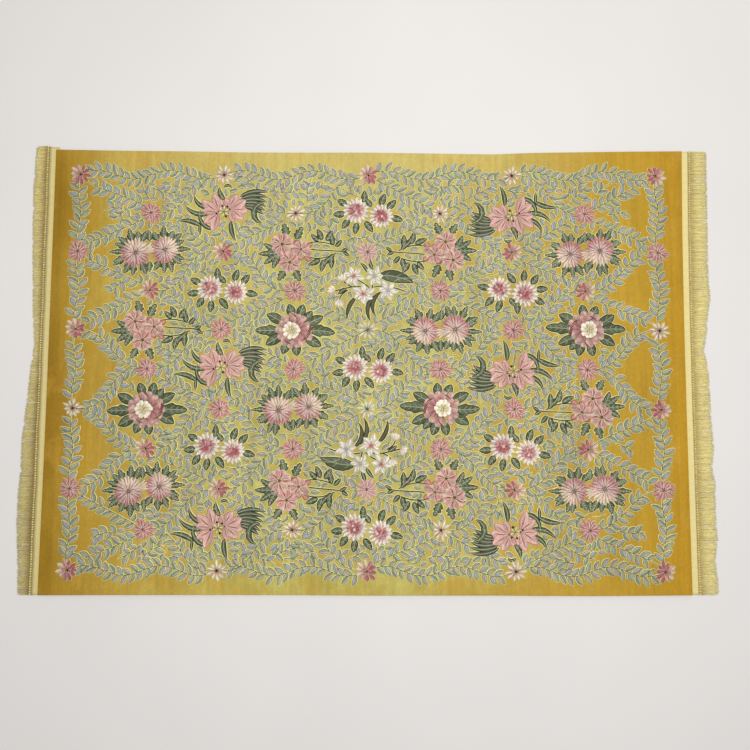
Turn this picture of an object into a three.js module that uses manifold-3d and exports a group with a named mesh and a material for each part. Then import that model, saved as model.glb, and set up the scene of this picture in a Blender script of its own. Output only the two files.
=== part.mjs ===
// Hand-knotted silk rug lying flat: a carved pile field with a flat-woven web at each end,
// and a knotted fringe along each web. Millimetres, +Z up, the rug lies on z = 0.
// +X runs along the length of the rug, +Y to its back long edge.
import * as THREE from 'three';
import { mergeVertices } from 'three/addons/utils/BufferGeometryUtils.js';
import Module from 'manifold-3d';

const wasm = await Module();
wasm.setup();

// Driving dimensions
const PILE_THICKNESS = 11;
const WEB_THICKNESS = 3;
const WEB_LENGTH = 28;
const WEB_UNDER_PILE = 30;
const WEB_STANDS_OUT = 12;
const FRINGE_STANDS_OUT = 16;
const PIECE_GAP = 0.3;
const KNOT_ROW_WIDTH = 14;
const FRINGE_THICKNESS = 3;
const TOOTH_PITCH = 12.2;
const TOOTH_ROOT_WIDTH = 10.2;
const TOOTH_TIP_WIDTH = 6.6;
const TIP_WAVER = 2.2;
const TIP_WAVER_STEP = 2.4;
const LONG_EDGE_STEPS = 30;
const END_EDGE_STEPS = 14;

// The two long edges of the pile. along runs from 0 at the left end to 1 at the right end,
// back and front are the edges' places in Y.
const LONG_EDGES = [
  { along: 0.0, back: 910, front: -926 },
  { along: 0.1, back: 906, front: -924 },
  { along: 0.2, back: 904, front: -923 },
  { along: 0.3, back: 900, front: -922 },
  { along: 0.4, back: 900, front: -922 },
  { along: 0.5, back: 901, front: -923 },
  { along: 0.6, back: 898, front: -922 },
  { along: 0.7, back: 895, front: -921 },
  { along: 0.76, back: 902, front: -922 },
  { along: 0.85, back: 906, front: -922 },
  { along: 0.92, back: 909, front: -920 },
  { along: 1.0, back: 911, front: -918 },
];

// The two ends of the pile. across runs from 0 at the front edge to 1 at the back edge,
// left and right are the ends' places in X.
const END_EDGES = [
  { across: 0.0, left: -1323, right: 1309 },
  { across: 0.2, left: -1319, right: 1307 },
  { across: 0.4, left: -1316, right: 1306 },
  { across: 0.6, left: -1314.6, right: 1306 },
  { across: 0.8, left: -1314, right: 1309 },
  { across: 1.0, left: -1313, right: 1316 },
];

// Where the fringe tips lie, x, at places y along each end.
const LEFT_TIPS = [
  { y: -926, x: -1410 },
  { y: -765, x: -1416 },
  { y: -690, x: -1423 },
  { y: -540, x: -1425 },
  { y: -450, x: -1418 },
  { y: -285, x: -1416 },
  { y: -135, x: -1401 },
  { y: -20, x: -1393 },
  { y: 90, x: -1380 },
  { y: 200, x: -1390 },
  { y: 320, x: -1395 },
  { y: 450, x: -1401 },
  { y: 600, x: -1406 },
  { y: 750, x: -1408 },
  { y: 926, x: -1402 },
];
const RIGHT_TIPS = [
  { y: -920, x: 1421 },
  { y: -850, x: 1418 },
  { y: -780, x: 1411 },
  { y: -700, x: 1423 },
  { y: -590, x: 1418 },
  { y: -470, x: 1421 },
  { y: -420, x: 1410 },
  { y: -320, x: 1420 },
  { y: -220, x: 1412 },
  { y: -30, x: 1408 },
  { y: 30, x: 1399 },
  { y: 75, x: 1391 },
  { y: 130, x: 1402 },
  { y: 215, x: 1411 },
  { y: 290, x: 1424 },
  { y: 395, x: 1418 },
  { y: 675, x: 1422 },
  { y: 911, x: 1425 },
];

// The pile's side in section, from the floor up: how far each level stands in from the outline.
const PILE_SECTION = [
  { height: 0, inset: 1.0 },
  { height: 1.5, inset: 0.0 },
  { height: 7.5, inset: 0.2 },
  { height: 9.8, inset: 1.4 },
  { height: PILE_THICKNESS, inset: 4.0 },
];
const WEB_SECTION = [
  { height: 0, inset: 0.0 },
  { height: WEB_THICKNESS, inset: 0.0 },
];
const FRINGE_SECTION = [
  { height: 0, inset: 0.0 },
  { height: FRINGE_THICKNESS, inset: 0.0 },
];

// Finish of the yarn
const PILE_FINISH = { color: 0xc9a433, roughness: 0.6, metalness: 0 };
const FRINGE_FINISH = { color: 0xdccd84, roughness: 0.7, metalness: 0 };

// The pile's four corners
const frontLeft = new THREE.Vector2(END_EDGES[0].left, LONG_EDGES[0].front);
const frontRight = new THREE.Vector2(END_EDGES[0].right, LONG_EDGES.at(-1).front);
const backLeft = new THREE.Vector2(END_EDGES.at(-1).left, LONG_EDGES[0].back);
const backRight = new THREE.Vector2(END_EDGES.at(-1).right, LONG_EDGES.at(-1).back);

// The two ends: which way each points in X, its corners, and how far its web and its fringe
// reach past the back corner in Y
const ENDS = {
  left: {
    side: -1,
    front: frontLeft,
    back: backLeft,
    webReach: WEB_STANDS_OUT,
    fringeReach: FRINGE_STANDS_OUT,
    tips: LEFT_TIPS,
  },
  right: {
    side: 1,
    front: frontRight,
    back: backRight,
    webReach: 0,
    fringeReach: 0,
    tips: RIGHT_TIPS,
  },
};

// A smooth line through a list of points
function smoothLine(points, steps) {
  return new THREE.SplineCurve(points).getPoints(steps);
}

// X of a line of points at a place in Y, straight between the two points around it
function xAt(points, y) {
  const next = points.findIndex((point) => point.y >= y);
  const index = next < 0 ? points.length - 1 : Math.max(next, 1);
  const before = points[index - 1];
  const after = points[index];
  const share = THREE.MathUtils.clamp((y - before.y) / (after.y - before.y), 0, 1);
  return THREE.MathUtils.lerp(before.x, after.x, share);
}

// One long edge, left to right, between its two corners
function longEdge(column, left, right) {
  const points = LONG_EDGES.map(
    (row) => new THREE.Vector2(THREE.MathUtils.lerp(left.x, right.x, row.along), row[column]),
  );
  return smoothLine(points, LONG_EDGE_STEPS);
}

// One end edge, front to back, moved out by a distance, and run on past its back corner
function endEdge(end, distance, reach) {
  const { side, front, back } = ENDS[end];
  const points = END_EDGES.map((row) => new THREE.Vector2(
    row[end] + side * distance,
    THREE.MathUtils.lerp(front.y, back.y + reach, row.across),
  ));
  return smoothLine(points, END_EDGE_STEPS);
}

// The pile's outline, anticlockwise from the front left corner
function pileOutline() {
  const sides = [
    longEdge('front', frontLeft, frontRight),
    endEdge('right', 0, 0),
    longEdge('back', backLeft, backRight).reverse(),
    endEdge('left', 0, 0).reverse(),
  ];
  return sides.flatMap((points) => points.slice(0, -1));
}

// The flat-woven web of one end, with its inner part under the pile
function webOutline(end) {
  const outer = endEdge(end, WEB_LENGTH, ENDS[end].webReach);
  const inner = endEdge(end, -WEB_UNDER_PILE, 0);
  return [...outer, ...inner.reverse()];
}

// A fringe as one comb: the row of knots against the web, and a tooth for each few knots, out
// to the tips. Each tooth takes four points of the outline, and two of the straight back.
function fringeOutline(end) {
  const { side, fringeReach, tips } = ENDS[end];
  const back = endEdge(end, WEB_LENGTH + PIECE_GAP, fringeReach);
  const front = endEdge(end, WEB_LENGTH + PIECE_GAP + KNOT_ROW_WIDTH, fringeReach);
  const first = back[0].y;
  const length = back.at(-1).y - first;
  const count = Math.round(length / TOOTH_PITCH);
  const teeth = [];
  const straight = [];
  for (let tooth = 0; tooth < count; tooth += 1) {
    const middle = first + ((tooth + 0.5) * length) / count;
    const waver = TIP_WAVER * Math.abs(Math.sin(tooth * TIP_WAVER_STEP));
    const tipX = xAt(tips, middle) - side * waver;
    const near = tooth > 0 ? middle - TOOTH_ROOT_WIDTH / 2 : first;
    const far = tooth + 1 < count ? middle + TOOTH_ROOT_WIDTH / 2 : first + length;
    teeth.push(new THREE.Vector2(xAt(front, near), near));
    teeth.push(new THREE.Vector2(tipX, middle - TOOTH_TIP_WIDTH / 2));
    teeth.push(new THREE.Vector2(tipX, middle + TOOTH_TIP_WIDTH / 2));
    teeth.push(new THREE.Vector2(xAt(front, far), far));
    straight.push(new THREE.Vector2(xAt(back, near), near));
    straight.push(new THREE.Vector2(xAt(back, far), far));
  }
  return [...teeth, ...straight.reverse()];
}

// Triangles that fill a fringe's outline: each tooth, the knot row behind it, and the knot row
// on to the next tooth
function fringeCap(outline) {
  const last = outline.length - 1;
  const count = outline.length / 6;
  const cap = [];
  const addQuad = (a, b, c, d) => cap.push([a, b, c], [a, c, d]);
  for (let tooth = 0; tooth < count; tooth += 1) {
    const near = 4 * tooth;
    const backNear = last - 2 * tooth;
    addQuad(near, near + 1, near + 2, near + 3);
    addQuad(backNear, near, near + 3, backNear - 1);
    if (tooth + 1 < count) addQuad(backNear - 1, near + 3, near + 4, backNear - 2);
  }
  return cap;
}

// A closed solid on a flat outline: one ring of points for each level of its section, capped
// at the floor and the top. An inset moves each point in towards the outline's centre lines.
function slab(outline, section, cap = THREE.ShapeUtils.triangulateShape(outline, [])) {
  const box = new THREE.Box2().setFromPoints(outline);
  const centre = box.getCenter(new THREE.Vector2());
  const half = box.getSize(new THREE.Vector2()).multiplyScalar(0.5);
  const positions = section.flatMap(({ height, inset }) => outline.flatMap((point) => [
    centre.x + (point.x - centre.x) * (1 - inset / half.x),
    centre.y + (point.y - centre.y) * (1 - inset / half.y),
    height,
  ]));
  const count = outline.length;
  const step = THREE.ShapeUtils.isClockWise(outline) ? count - 1 : 1;
  const indices = [];
  for (let level = 0; level + 1 < section.length; level += 1) {
    for (let point = 0; point < count; point += 1) {
      const a = level * count + point;
      const b = level * count + ((point + step) % count);
      indices.push(a, b, b + count, a, b + count, a + count);
    }
  }
  const top = (section.length - 1) * count;
  for (const [a, b, c] of cap) {
    const turn = THREE.ShapeUtils.isClockWise([outline[a], outline[b], outline[c]]);
    const [second, third] = turn ? [c, b] : [b, c];
    indices.push(top + a, top + second, top + third);
    indices.push(a, third, second);
  }
  const geometry = new THREE.BufferGeometry();
  geometry.setAttribute('position', new THREE.Float32BufferAttribute(positions, 3));
  geometry.setIndex(indices);
  geometry.computeVertexNormals();
  return geometry;
}

// A closed geometry as a solid that can be joined
function toSolid(geometry) {
  geometry.deleteAttribute('normal');
  const merged = mergeVertices(geometry);
  return new wasm.Manifold(new wasm.Mesh({
    numProp: 3,
    vertProperties: merged.attributes.position.array,
    triVerts: new Uint32Array(merged.index.array),
  }));
}

// A joined solid as a geometry
function toGeometry(solid) {
  const mesh = solid.getMesh();
  const geometry = new THREE.BufferGeometry();
  geometry.setAttribute('position', new THREE.BufferAttribute(mesh.vertProperties, 3));
  geometry.setIndex(new THREE.BufferAttribute(mesh.triVerts, 1));
  geometry.computeVertexNormals();
  return geometry;
}

// The pile field and its two webs, woven as one cloth
function makeRug() {
  const pile = toSolid(slab(pileOutline(), PILE_SECTION));
  const leftWeb = toSolid(slab(webOutline('left'), WEB_SECTION));
  const rightWeb = toSolid(slab(webOutline('right'), WEB_SECTION));
  return toGeometry(pile.add(leftWeb).add(rightWeb));
}

function makeFringe(end) {
  const outline = fringeOutline(end);
  return slab(outline, FRINGE_SECTION, fringeCap(outline));
}

function namedMesh(name, geometry, finish) {
  const mesh = new THREE.Mesh(geometry, new THREE.MeshStandardMaterial(finish));
  mesh.name = name;
  return mesh;
}

const whole = new THREE.Group();
whole.add(namedMesh('rug', makeRug(), PILE_FINISH));
whole.add(namedMesh('fringe_left', makeFringe('left'), FRINGE_FINISH));
whole.add(namedMesh('fringe_right', makeFringe('right'), FRINGE_FINISH));

export default whole;
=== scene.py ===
import math
import random
from collections import namedtuple
from functools import lru_cache

import bpy
import numpy as np
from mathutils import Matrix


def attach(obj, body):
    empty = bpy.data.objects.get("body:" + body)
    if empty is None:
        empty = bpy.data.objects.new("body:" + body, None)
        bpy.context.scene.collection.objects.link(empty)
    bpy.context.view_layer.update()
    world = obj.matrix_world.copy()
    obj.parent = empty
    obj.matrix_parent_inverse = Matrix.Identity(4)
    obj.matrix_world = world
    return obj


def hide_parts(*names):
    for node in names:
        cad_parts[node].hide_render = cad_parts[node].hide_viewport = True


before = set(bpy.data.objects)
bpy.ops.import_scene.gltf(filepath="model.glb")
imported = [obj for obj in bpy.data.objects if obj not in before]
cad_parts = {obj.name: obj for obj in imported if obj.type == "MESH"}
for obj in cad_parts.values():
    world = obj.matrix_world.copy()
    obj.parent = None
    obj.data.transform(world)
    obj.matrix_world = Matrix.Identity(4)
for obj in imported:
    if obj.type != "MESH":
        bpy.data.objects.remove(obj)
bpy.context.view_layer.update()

# All lengths are in metres. +X runs along the rug, +Y to its back edge, +Z up out of the pile.
MM = 0.001
chance = random.Random(27)

# The camera stands over the rug, as high as the pile's four corners in the picture ask for.
IMAGE_SIDE_PX = 750
FOCAL_PX = 577
SENSOR_MM = 36.0
CAMERA_PLACE = (0.030, -0.175, 2.373)
CAMERA_TURN_DEG = (3.383, -0.012, 0.184)

# The rug's outline, as woven: the long edges' places in Y, from the left end to the right one
Edge = namedtuple("Edge", "along back front")
LONG_EDGES = [
    Edge(0.00, 0.910, -0.926), Edge(0.10, 0.906, -0.924), Edge(0.20, 0.904, -0.923),
    Edge(0.30, 0.900, -0.922), Edge(0.40, 0.900, -0.922), Edge(0.50, 0.901, -0.923),
    Edge(0.60, 0.898, -0.922), Edge(0.70, 0.895, -0.921), Edge(0.76, 0.902, -0.922),
    Edge(0.85, 0.906, -0.922), Edge(0.92, 0.909, -0.920), Edge(1.00, 0.911, -0.918),
]
# The ends' places in X, from the front edge to the back one
End = namedtuple("End", "across left right")
END_EDGES = [
    End(0.0, -1.3230, 1.309), End(0.2, -1.3190, 1.307), End(0.4, -1.3160, 1.306),
    End(0.6, -1.3146, 1.306), End(0.8, -1.3140, 1.309), End(1.0, -1.3130, 1.316),
]
# Where the fringe tips lie, in X, at places in Y along each end
Tip = namedtuple("Tip", "y x")
LEFT_TIPS = [
    Tip(-0.926, -1.410), Tip(-0.765, -1.416), Tip(-0.690, -1.423), Tip(-0.540, -1.425),
    Tip(-0.450, -1.418), Tip(-0.285, -1.416), Tip(-0.135, -1.401), Tip(-0.020, -1.393),
    Tip(0.090, -1.380), Tip(0.200, -1.390), Tip(0.320, -1.395), Tip(0.450, -1.401),
    Tip(0.600, -1.406), Tip(0.750, -1.408), Tip(0.926, -1.402),
]
RIGHT_TIPS = [
    Tip(-0.920, 1.421), Tip(-0.850, 1.418), Tip(-0.780, 1.411), Tip(-0.700, 1.423),
    Tip(-0.590, 1.418), Tip(-0.470, 1.421), Tip(-0.420, 1.410), Tip(-0.320, 1.420),
    Tip(-0.220, 1.412), Tip(-0.030, 1.408), Tip(0.030, 1.399), Tip(0.075, 1.391),
    Tip(0.130, 1.402), Tip(0.215, 1.411), Tip(0.290, 1.424), Tip(0.395, 1.418),
    Tip(0.675, 1.422), Tip(0.911, 1.425),
]
# Where the fringe parts into locks, in Y
LEFT_PARTINGS = (-0.82, -0.69, -0.55, -0.43, -0.24, -0.13, 0.03, 0.19, 0.33, 0.52, 0.66, 0.80)
RIGHT_PARTINGS = (-0.783, -0.708, -0.645, -0.517, -0.400, -0.309, -0.190, -0.078, 0.000, 0.064,
                  0.132, 0.177, 0.349, 0.435, 0.518, 0.615, 0.732, 0.788)

WEB_LENGTH = 0.028
WEB_STANDS_OUT = 0.012
FRINGE_STANDS_OUT = 0.016

# Heights above the floor, and the height of one layer of petals in millimetres
WEB_TOP = 0.003
GROUND = 0.0104
HALO_SINK = -0.0002
LAYER = 0.62

# The all-over layout: rosettes on a lattice, a spray of flowers between each two of a column
COLUMN_PITCH = 0.3009
ROW_PITCH = 0.1627
LATTICE_CENTRE = (-0.002, -0.012)
LAST_COLUMN = 4
LAST_ROW = 5


def linear(hex_colour):
    """A linear colour from an sRGB one written as hex digits."""
    parts = [int(hex_colour[i:i + 2], 16) / 255 for i in (0, 2, 4)]
    return tuple(p / 12.92 if p <= 0.04045 else ((p + 0.055) / 1.055) ** 2.4 for p in parts)


COLOURS = {name: linear(code) for name, code in {
    # The second and third golds on the next line are painted sheen, for the ground's middle and its back
    "gold": "BE9A34", "sheen_pale_gold": "CAC46E", "sheen_back_gold": "CDB96E", "orange": "C89A3A",
    "halo": "E4E09E", "leaf_edge": "3A3F28", "leaf_green": "9AA17D", "leaf_deep": "85927C",
    "leaf_teal": "93A699", "leaf_lavender": "B3AAB2", "leaf_grey": "B6B19E", "leaf_rib": "7A8266",
    "stem": "62664A", "dark_edge": "22271A", "dark_leaf": "4C553A", "dark_leaf_blue": "606950",
    "olive_brown": "5A5234", "dark_rib": "B0B798", "rose": "B0696E", "coral": "BE645E",
    "rose_line": "9A5A5E", "maroon": "7C4240", "pink": "C5918C", "pale_pink": "DEBFB0",
    "mauve": "C09A9E", "dusty": "B98F88", "cream": "F0E4C6", "white": "F8F2E4",
    "tan": "AE9270", "stamen": "B4AE6E", "grey": "858C82", "bud": "C9BAAC",
    # The web's edge colour and the fringe's root colour on the next line are painted shadow and shade, with
    # some dirt
    "web": "E4D492", "web_edge_shadow_and_dirt": "94824A", "fringe": "F2E398", "fringe_root": "BFA85C",
}.items()}


def colour(shade):
    """A colour's numbers, whether it is given by its name or by them."""
    return COLOURS[shade] if isinstance(shade, str) else shade


def mix(a, b, share):
    """A colour between two colours."""
    return tuple(p + (q - p) * share for p, q in zip(colour(a), colour(b)))


def vary(shade, amount=0.07):
    """A colour a little lighter or darker, as dyed yarn is."""
    factor = 1 + chance.uniform(-amount, amount)
    return tuple(min(1.0, p * factor) for p in colour(shade))


def undulation(x, y):
    """The slight unevenness of the pile as the rug lies."""
    return (0.00035 * np.sin(x * 7.3 + 1.0) * np.sin(y * 9.1 + 0.4)
            + 0.00020 * np.sin(x * 23.0 + y * 5.0) + 0.00015 * np.sin(y * 31.0 - x * 3.0))


# Mesh building: every motif goes into a bag, and a bag becomes one piece


class Bag:
    """Collects points, faces and face colours, and makes one mesh of them."""

    def __init__(self):
        self.parts = []
        self.count = 0

    def add(self, points, loops, sizes, colours):
        self.parts.append((points, loops + self.count, sizes, colours))
        self.count += len(points)

    def to_object(self, name, material):
        points, loops, sizes, colours = (np.concatenate(column) for column in zip(*self.parts))
        mesh = bpy.data.meshes.new(name)
        mesh.vertices.add(len(points))
        mesh.vertices.foreach_set("co", points.ravel())
        mesh.loops.add(len(loops))
        mesh.loops.foreach_set("vertex_index", loops)
        mesh.polygons.add(len(sizes))
        mesh.polygons.foreach_set("loop_start", np.cumsum(sizes) - sizes)
        mesh.polygons.foreach_set("use_smooth", np.full(len(sizes), True))
        mesh.update(calc_edges=True)
        mesh.validate()
        yarn = mesh.color_attributes.new("yarn", "FLOAT_COLOR", "CORNER")
        yarn.data.foreach_set("color", np.column_stack([colours, np.ones(len(colours))]).ravel())
        mesh.materials.append(material)
        piece = bpy.data.objects.new(name, mesh)
        bpy.context.scene.collection.objects.link(piece)
        return piece


def strip(a, b):
    """Faces between two closed rows of points, each given by its points' indexes."""
    return np.stack([a, np.roll(a, -1), np.roll(b, -1), b], axis=1)


def grid_faces(columns, rows):
    """Faces of a grid of points that follow one another row by row."""
    i, j = (g.ravel() for g in np.meshgrid(np.arange(columns - 1), np.arange(rows - 1)))
    corner = j * columns + i
    return np.stack([corner, corner + 1, corner + 1 + columns, corner + columns], axis=1)


def grid_border(columns, rows):
    """The indexes of such a grid's outer points, in order around it."""
    index = np.arange(columns * rows).reshape(rows, columns)
    return np.concatenate([index[0, :-1], index[:-1, -1], index[-1, :0:-1], index[:0:-1, 0]])


# One ring of a motif: how far it lies out from the motif's edge (or, with rib set, how far from
# the middle line), its height over the ground, and the colour from it in to the next ring
Ring = namedtuple("Ring", "out height left right rib", defaults=(False,))



def plain_rings(shade, *rows):
    """Rings of one colour, from rows of how far out and how high each is."""
    return [Ring(out, height, shade, shade) for out, height in rows]


# How far a ring reaches past a motif's ends, as a multiple of how far it lies out
TIP_REACH = 1.15
# A rib's greatest half width and its least distance from the ends, as shares of the motif's own
RIB_WIDTH = 0.5
RIB_START = 0.45


@lru_cache(maxsize=None)
def pad_faces(stations, rings):
    """The faces of a pad: loops, face sizes, and each loop's band, side and station."""
    around = 2 * stations - 2
    index = np.arange(rings * around).reshape(rings, around)
    top = index[-1]
    walls = [face for a, b in zip(index, index[1:]) for face in strip(a, b)]
    across = [top[[i, i + 1, -i - 1, -i]] for i in range(1, stations - 2)]
    under = index[0, -np.arange(around)]
    faces = [*walls, top[[0, 1, -1]], *across, top[stations - 2:stations + 1], under]
    sizes = np.array([len(face) for face in faces])
    first = np.repeat([face[0] for face in faces], sizes)
    loops = np.concatenate(faces)
    step = loops % around
    keys = (first // around, (first % around < stations - 1).astype(int), np.minimum(step, around - step))
    return loops, sizes, keys


def add_pad(bag, spine, half, rings):
    """A raised, closed motif along a spine of points, with half its width at each of them."""
    along = np.gradient(spine, axis=0)
    along /= np.linalg.norm(along, axis=1, keepdims=True)
    across = np.stack([-along[:, 1], along[:, 0]], axis=1)
    points = []
    shades = np.empty((len(rings), 2, len(spine), 3))
    for band, ring in enumerate(rings):
        if ring.rib:
            reach = np.minimum(half * RIB_WIDTH, ring.out)
            pull = -max(half.max() * RIB_START, ring.out)
        else:
            reach = np.maximum(half + ring.out, 0.0)
            pull = ring.out * TIP_REACH
        left = spine + across * reach[:, None]
        right = spine - across * reach[:, None]
        flat = np.vstack([spine[0] - along[0] * pull, right[1:-1],
                          spine[-1] + along[-1] * pull, left[-2:0:-1]])
        points.append(np.column_stack([flat, GROUND + ring.height + undulation(*flat.T)]))
        shades[band, 0] = ring.left
        shades[band, 1] = ring.right
    loops, sizes, keys = pad_faces(len(spine), len(rings))
    bag.add(np.vstack(points), loops, sizes, shades[keys])


def step_from(x, y, reach, angle):
    """The point at a distance from another one, along an angle in degrees."""
    local = math.radians(angle)
    return x + reach * math.cos(local), y + reach * math.sin(local)


@lru_cache(maxsize=None)
def shares(stations):
    """Shares of a leaf's length, closer together towards both its ends."""
    even = np.linspace(0, 1, stations)
    return 0.6 * (1 - np.cos(even * math.pi)) / 2 + 0.4 * even


def bent_spine(x, y, angle, length, bend=0.0, stations=7):
    """Points from a base along an angle, turned evenly by bend. Angles are in degrees."""
    share = shares(stations)
    heading = np.radians(angle + bend * (share - 0.5))
    step = np.diff(share)[:, None] * length
    middle = (heading[1:] + heading[:-1]) / 2
    moves = step * np.stack([np.cos(middle), np.sin(middle)], axis=1)
    return np.vstack([[0, 0], np.cumsum(moves, axis=0)]) + (x, y)


@lru_cache(maxsize=None)
def unit_widths(stations, widest, fullness, teeth, depth):
    share = shares(stations)
    power = math.log(0.5) / math.log(widest)
    half = np.sin(math.pi * share ** power).clip(0, 1) ** fullness / 2
    if teeth:
        half = half * (1 - depth * (1 - (share * teeth) % 1.0))
    half[0] = half[-1] = 0.0
    return half


def half_widths(width, stations, widest, fullness, teeth=0, depth=0.0):
    """Half widths along a leaf or petal. widest is the share of its length where it is widest."""
    return width * unit_widths(stations, widest, fullness, teeth, depth)


# What is already taken on the rug, so that vine leaves keep clear of the flowers


@lru_cache(maxsize=None)
def disc(reach):
    rows, columns = np.mgrid[-reach:reach + 1, -reach:reach + 1]
    inside = rows ** 2 + columns ** 2 <= reach ** 2
    return rows[inside], columns[inside]


class Taken:
    CELL = 0.0025
    CORNER = (-1.5, -1.1)
    ROWS = 880
    COLUMNS = 1200

    def __init__(self):
        self.cells = np.zeros((self.ROWS, self.COLUMNS), dtype=bool)

    def index(self, points):
        places = ((np.asarray(points) - self.CORNER) / self.CELL).astype(int)
        return places[:, 1], places[:, 0]

    def mark(self, points, radii):
        for row, column, radius in zip(*self.index(points), radii):
            rows, columns = disc(max(1, int(round(radius / self.CELL))))
            self.cells[row + rows, column + columns] = True

    def share(self, points):
        return self.cells[self.index(points)].mean()


taken = Taken()

# Vine leaves and stems. The vines are two pieces, one for each half of the rug.

LEAF_HALO = 0.0050
STEM_HALO = 0.0044
VINE_RIM = 0.0018
VINE_RIB = 0.0008
EDGE_RISE = 0.0009
FILL_RISE = 0.0014
RIB_RISE = 0.0019
STEM_WIDTH = 0.0028
# How far around itself a motif keeps the ground clear of vine leaves
LEAF_CLEAR = 0.0008
MOTIF_CLEAR = 0.0015
SPRAY_LEAF_CLEAR = 0.003
LEAF_TINTS = (("leaf_green", "leaf_lavender"), ("leaf_teal", "leaf_lavender"),
              ("leaf_deep", "leaf_grey"), ("leaf_green", "leaf_grey"))
LEAF_CORRIDOR = 0.005
# A small leaf's length and width, from the first choice to the last, as shares of the full ones
LeafSize = namedtuple("LeafSize", "length width")
LEAF_SIZES = (LeafSize(1.0, 1.06), LeafSize(0.85, 0.9646), LeafSize(0.72, 0.88192))

# A vine's leaves: how far from its start and its end they keep, and how close and large they are
VineStyle = namedtuple("VineStyle", "start stop spacing length width")
FIELD_VINE = VineStyle(0.045, 0.045, 0.0164, 0.045, 0.0192)
END_VINE = VineStyle(0.045, 0.045, 0.0172, 0.046, 0.0190)
LONG_VINE = VineStyle(0.045, 0.045, 0.0158, 0.044, 0.0182)
TWIG_VINE = VineStyle(0.010, 0.012, 0.0165, 0.041, 0.0190)
# How a vine curves between two rosettes: flat at first and steep later, or in waves at the border
LINK_FLAT = 0.40
LINK_STEEP = 0.14
LINK_POINTS = 40
Wave = namedtuple("Wave", "count swing points", defaults=(24,))
END_WAVE = Wave(3, 0.007)
LONG_WAVE = Wave(4, 0.019)
vines = {"left": Bag(), "right": Bag()}


def vine_bag(x):
    return vines["left" if x < 0 else "right"]


def leaf_rings(shades, rim, rib, step=0.0):
    """A leaf's rings. Its four shades are its edge, its left and right sides and its rib."""
    edge, left, right, middle = (vary(c) for c in shades)
    outer = vary("halo", 0.06)
    return [Ring(LEAF_HALO, HALO_SINK, outer, outer),
            Ring(0.0, EDGE_RISE + step, edge, edge),
            Ring(-rim, FILL_RISE + step, left, right),
            Ring(rib, RIB_RISE + step, middle, middle, True)]


def corridor(spine, reach):
    """A leaf's middle line with points on both sides of it."""
    along = spine[-1] - spine[0]
    across = np.array([-along[1], along[0]]) * (reach / np.linalg.norm(along))
    return np.vstack([spine[2:], spine[2:-1] + across, spine[2:-1] - across])


def vine_leaf(bag, x, y, angle, length, width, bend=18, allow=0.16):
    """One small leaf of the vine, if there is room for it."""
    for size in LEAF_SIZES:
        spine = bent_spine(x, y, angle, length * size.length, bend)
        if taken.share(corridor(spine, LEAF_CORRIDOR)) <= allow:
            break
    else:
        return False
    width = width * size.width * chance.uniform(0.92, 1.08)
    half = half_widths(width, len(spine), widest=0.46, fullness=0.80)
    left, right = chance.choice(LEAF_TINTS)
    if chance.random() >= 0.5:
        left, right = right, left
    add_pad(bag, spine, half, leaf_rings(("leaf_edge", left, right, "leaf_rib"), VINE_RIM, VINE_RIB))
    taken.mark(spine[1:], half[1:] + LEAF_CLEAR)
    return True


def stem(bag, points, width=STEM_WIDTH, shade="stem", step=0.0):
    """A thin stem along a line of points."""
    half = np.full(len(points), width / 2)
    half[0] = half[-1] = 0.0
    halo = plain_rings(vary("halo", 0.05), (STEM_HALO, HALO_SINK))
    green = plain_rings(vary(shade), (0.0, EDGE_RISE + step), (-width * 0.3, FILL_RISE + step))
    add_pad(bag, points, half, halo + green)
    taken.mark(points, half + MOTIF_CLEAR)


def bezier(points, count):
    a, b, c, d = (np.array(p, dtype=float) for p in points)
    t = np.linspace(0, 1, count)[:, None]
    return a * (1 - t) ** 3 + 3 * b * t * (1 - t) ** 2 + 3 * c * t ** 2 * (1 - t) + d * t ** 3


def walk(points, spacing, start, stop):
    """Points and headings at even steps along a line, between two distances from its ends."""
    lengths = np.concatenate([[0], np.cumsum(np.linalg.norm(np.diff(points, axis=0), axis=1))])
    headings = np.unwrap(np.arctan2(*np.gradient(points, axis=0).T[::-1]))
    for place in np.arange(start, lengths[-1] - stop, spacing):
        x, y, heading = (np.interp(place, lengths, values) for values in (*points.T, headings))
        yield x, y, math.degrees(heading)


def leafy_vine(bag, points, style):
    """A stem with leaves on its two sides in turn, pointing on along it."""
    stem(bag, points)
    side = chance.choice((-1, 1))
    for x, y, heading in walk(points, style.spacing, style.start, style.stop):
        side = -side
        vine_leaf(bag, x, y, heading + side * chance.uniform(40, 62),
                  style.length * chance.uniform(0.88, 1.1), style.width,
                  bend=-side * chance.uniform(5, 30))


def site(column, row):
    return (LATTICE_CENTRE[0] + column * COLUMN_PITCH, LATTICE_CENTRE[1] + row * ROW_PITCH)


def rosette_rows(column):
    rows = range(-LAST_ROW, LAST_ROW + 1, 2) if column % 2 == 0 else range(-4, 5, 2)
    return reversed(rows)


def diagonal_link(a, b, sway):
    """An S-curved line from one rosette to a diagonal neighbour."""
    (ax, ay), (bx, by) = a, b
    dx, dy = bx - ax, by - ay
    flat, steep = LINK_FLAT + sway, LINK_STEEP - sway
    return bezier([a, (ax + dx * flat, ay + dy * steep), (bx - dx * flat, by - dy * steep), b], LINK_POINTS)


def border_wave(a, b, wave):
    """A waving line along the border between two rosettes."""
    a, b = np.array(a), np.array(b)
    share = np.linspace(0, 1, wave.points * wave.count)[:, None]
    along = (b - a) / np.linalg.norm(b - a)
    across = np.array([-along[1], along[0]])
    return a + (b - a) * share + across * wave.swing * np.sin(share * math.pi * wave.count)


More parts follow.
